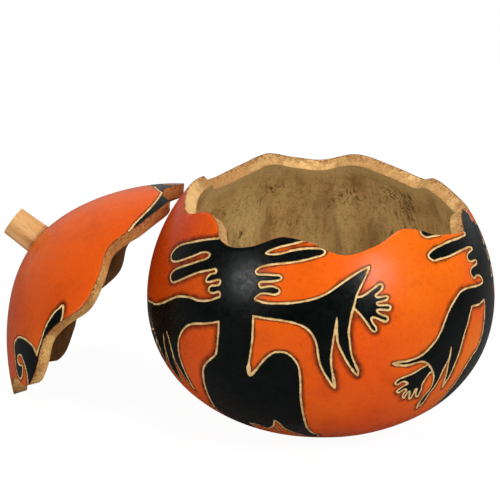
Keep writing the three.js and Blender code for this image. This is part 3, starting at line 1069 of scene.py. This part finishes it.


def make_stem():
    """A whittled peg: slightly flattened sides, crisp end, foot cut to follow the crown."""
    turn = np.arange(STEM_SIDES) * 2 * math.pi / STEM_SIDES
    flat = 0.1 * np.cos(7 * turn + 0.4) + 0.08 * np.cos(3 * turn + 1.1) + 0.04 * np.cos(17 * turn)

    def ring(share, radius, level):
        """Share is out of the radius, and level runs from the crown (0) to the sawn end (1)."""
        out = share * (radius - 0.1 + flat * 0.5)
        x, y = out * np.cos(turn) + STEM_SHIFT, out * np.sin(turn)
        away = np.hypot(x, y)
        zero = np.zeros_like(away)
        polar = turning_point(zero, zero + 90, lambda p: skin(p) * np.sin(p * DEGREE) < away)
        seat = skin(polar) * np.cos(polar * DEGREE) - STEM_SUNK
        return np.stack([x, y, seat + (STEM_TOP - seat) * level], axis=1)

    rings = [ring(0.5, STEM_RADIUS, 0), ring(0.97, STEM_RADIUS, 0)]
    for level in steps(0.01, 0.985, STEM_RINGS):
        rings.append(ring(1, STEM_RADIUS + (STEM_TIP_RADIUS - STEM_RADIUS) * level, level))
    rings += [ring(share, STEM_TIP_RADIUS, 1) for share in (0.975, 0.8, 0.55, 0.3, 0.1)]
    foot = [STEM_SHIFT, 0, float(rings[0][:, 2].max())]
    points = np.vstack([[foot]] + rings + [[[STEM_SHIFT, 0, STEM_TOP]]])
    faces = []
    last = 1 + (len(rings) - 1) * STEM_SIDES
    for j in range(STEM_SIDES):
        k = (j + 1) % STEM_SIDES
        faces.append((0, 1 + k, 1 + j))
        for i in range(len(rings) - 1):
            a, b = 1 + i * STEM_SIDES + j, 1 + i * STEM_SIDES + k
            faces.append((a, b, b + STEM_SIDES, a + STEM_SIDES))
        faces.append((len(points) - 1, last + j, last + k))
    mesh = bpy.data.meshes.new("stem_peg")
    mesh.from_pydata((points * MM).tolist(), [], faces)
    mesh.shade_smooth()
    mesh.set_sharp_from_angle(angle=40 * DEGREE)
    mesh.materials.append(pale_wood())
    peg = placed("stem_peg", mesh)
    peg.matrix_world = lid_matrix
    return peg


def pale_wood():
    """Straight grain, fine pores and painted shade at the foot, where it meets the crown."""
    n = Nodes(bpy.data.materials.new("pale_wood_grain"))
    grain = n.noise(520, 4, 0.6, n.upright(0.08))
    bands = n.noise(170, 3, 0.5, n.upright(0.05), 0.4)
    pores = n.noise(1200, 3, 0.6, n.upright(0.2))
    base = n.mix(n.ramp(bands, 0.35, 0.68), colour(246, 202, 138), colour(218, 164, 100))
    base = n.mix(n.ramp(grain, 0.5, 0.7, 0, 0.5), base, colour(160, 104, 54))
    base = n.mix(n.ramp(pores, 0.55, 0.72, 0, 0.45), base, colour(140, 90, 46))
    crown = STEM_TOP - STEM_HEIGHT
    ends = ((crown + STEM_FOOT_SHADE) * MM, (crown - STEM_FOOT_SHADE) * MM)
    # Painted shade where the peg meets the crown.
    base = n.mix(n.ramp(n.axis("Z"), *ends, 0, 0.55), base, colour(130, 84, 36))
    return n.finish(base, 0.72, n.bump(grain, 0.0004, 0.5), 0.25)


stem = make_stem()
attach(stem, "lid_body")
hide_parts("stem")

# ---- Floor, light, camera ----------------------------------------------------------------------
FLOOR_SIZE, FLOOR_BELOW = 4.0, 0.0002     # metres; it lies a little under the foot
FLOOR_SHOWN, FLOOR_BOUNCE = 250, 200      # shade that the camera sees, and that lights the box
FLOOR_MIRRORED = 125                      # shade in reflections
FLOOR_GLOW, GLOW_STRENGTH = 0.9, 1.06     # plain white mixed into what the camera sees
SKY_LIGHT = 0.32                          # strength of the even light
SKY_AHEAD, SKY_BEHIND = 0.01, 0.48        # strength seen in reflections, camera's side and backdrop
SENSOR_WIDTH = 36                         # mm


def floor_white():
    """White paper, which is brighter to the camera than it is to the box."""
    n = Nodes(bpy.data.materials.new("floor_white"))
    rays = n.add("ShaderNodeLightPath").outputs
    shade = n.mix(rays["Is Glossy Ray"], grey(FLOOR_BOUNCE), grey(FLOOR_MIRRORED))
    shade = n.mix(rays["Is Camera Ray"], shade, grey(FLOOR_SHOWN))
    paper = n.fill(n.add("ShaderNodeBsdfDiffuse"), {"Color": shade})
    glow = n.fill(n.add("ShaderNodeEmission"), {"Strength": GLOW_STRENGTH})
    share = n.times(rays["Is Camera Ray"], FLOOR_GLOW)
    both = {"Fac": share, 1: paper.outputs[0], 2: glow.outputs[0]}
    return n.surface(n.fill(n.add("ShaderNodeMixShader"), both))


floor_mesh = bpy.data.meshes.new("floor")
half = FLOOR_SIZE / 2
corners = [(-half, -half, 0), (half, -half, 0), (half, half, 0), (-half, half, 0)]
floor_mesh.from_pydata(corners, [], [(0, 1, 2, 3)])
floor_mesh.materials.append(floor_white())
floor = placed("floor", floor_mesh)
floor.location.z = -FLOOR_BELOW


def make_world():
    """White to the camera, soft even light, and a pale backdrop that only shows in reflections."""
    world = bpy.data.worlds.new("studio")
    bpy.context.scene.world = world
    n = Nodes(world, "ShaderNodeOutputWorld")
    rays = n.add("ShaderNodeLightPath").outputs
    backdrop = n.ramp(n.axis("Y", "Generated"), -0.1, 0.9, SKY_AHEAD, SKY_BEHIND)
    strength = n.pick(rays["Is Glossy Ray"], SKY_LIGHT, backdrop)
    strength = n.pick(rays["Is Camera Ray"], strength, 1.0)
    n.surface(n.fill(n.add("ShaderNodeBackground"), {"Color": (1, 1, 1, 1), "Strength": strength}))


def area_light(name, place, size, power):
    """A round lamp that shines on the middle of the box. Lengths are metres."""
    light = bpy.data.lights.new(name, "AREA")
    light.shape = "DISK"
    light.size = size
    light.energy = power
    lamp = placed(name, light)
    lamp.location = place
    lamp.rotation_euler = (LIT - Vector(place)).to_track_quat("-Z", "Y").to_euler()


make_world()
LIT = Vector((0, 0, 0.05))
area_light("key", place=(0.65, -0.80, 0.70), size=0.38, power=5.9)
area_light("top", place=(0.15, -0.05, 1.1), size=0.7, power=5.6)
area_light("fill", place=(-0.8, -0.6, 0.5), size=0.32, power=2.8)

camera_data = bpy.data.cameras.new("camera")
camera_data.sensor_width = SENSOR_WIDTH
camera_data.lens = FOCAL_PIXELS / PHOTO_SIZE * SENSOR_WIDTH
camera_data.clip_start, camera_data.clip_end = 0.05, 20
camera = placed("camera", camera_data)
camera.location = Vector(CAMERA_AT) * MM
camera.rotation_euler = ((90 - CAMERA_DOWN) * DEGREE, 0, 0)
bpy.context.scene.camera = camera
bpy.context.scene.view_settings.view_transform = "Standard"
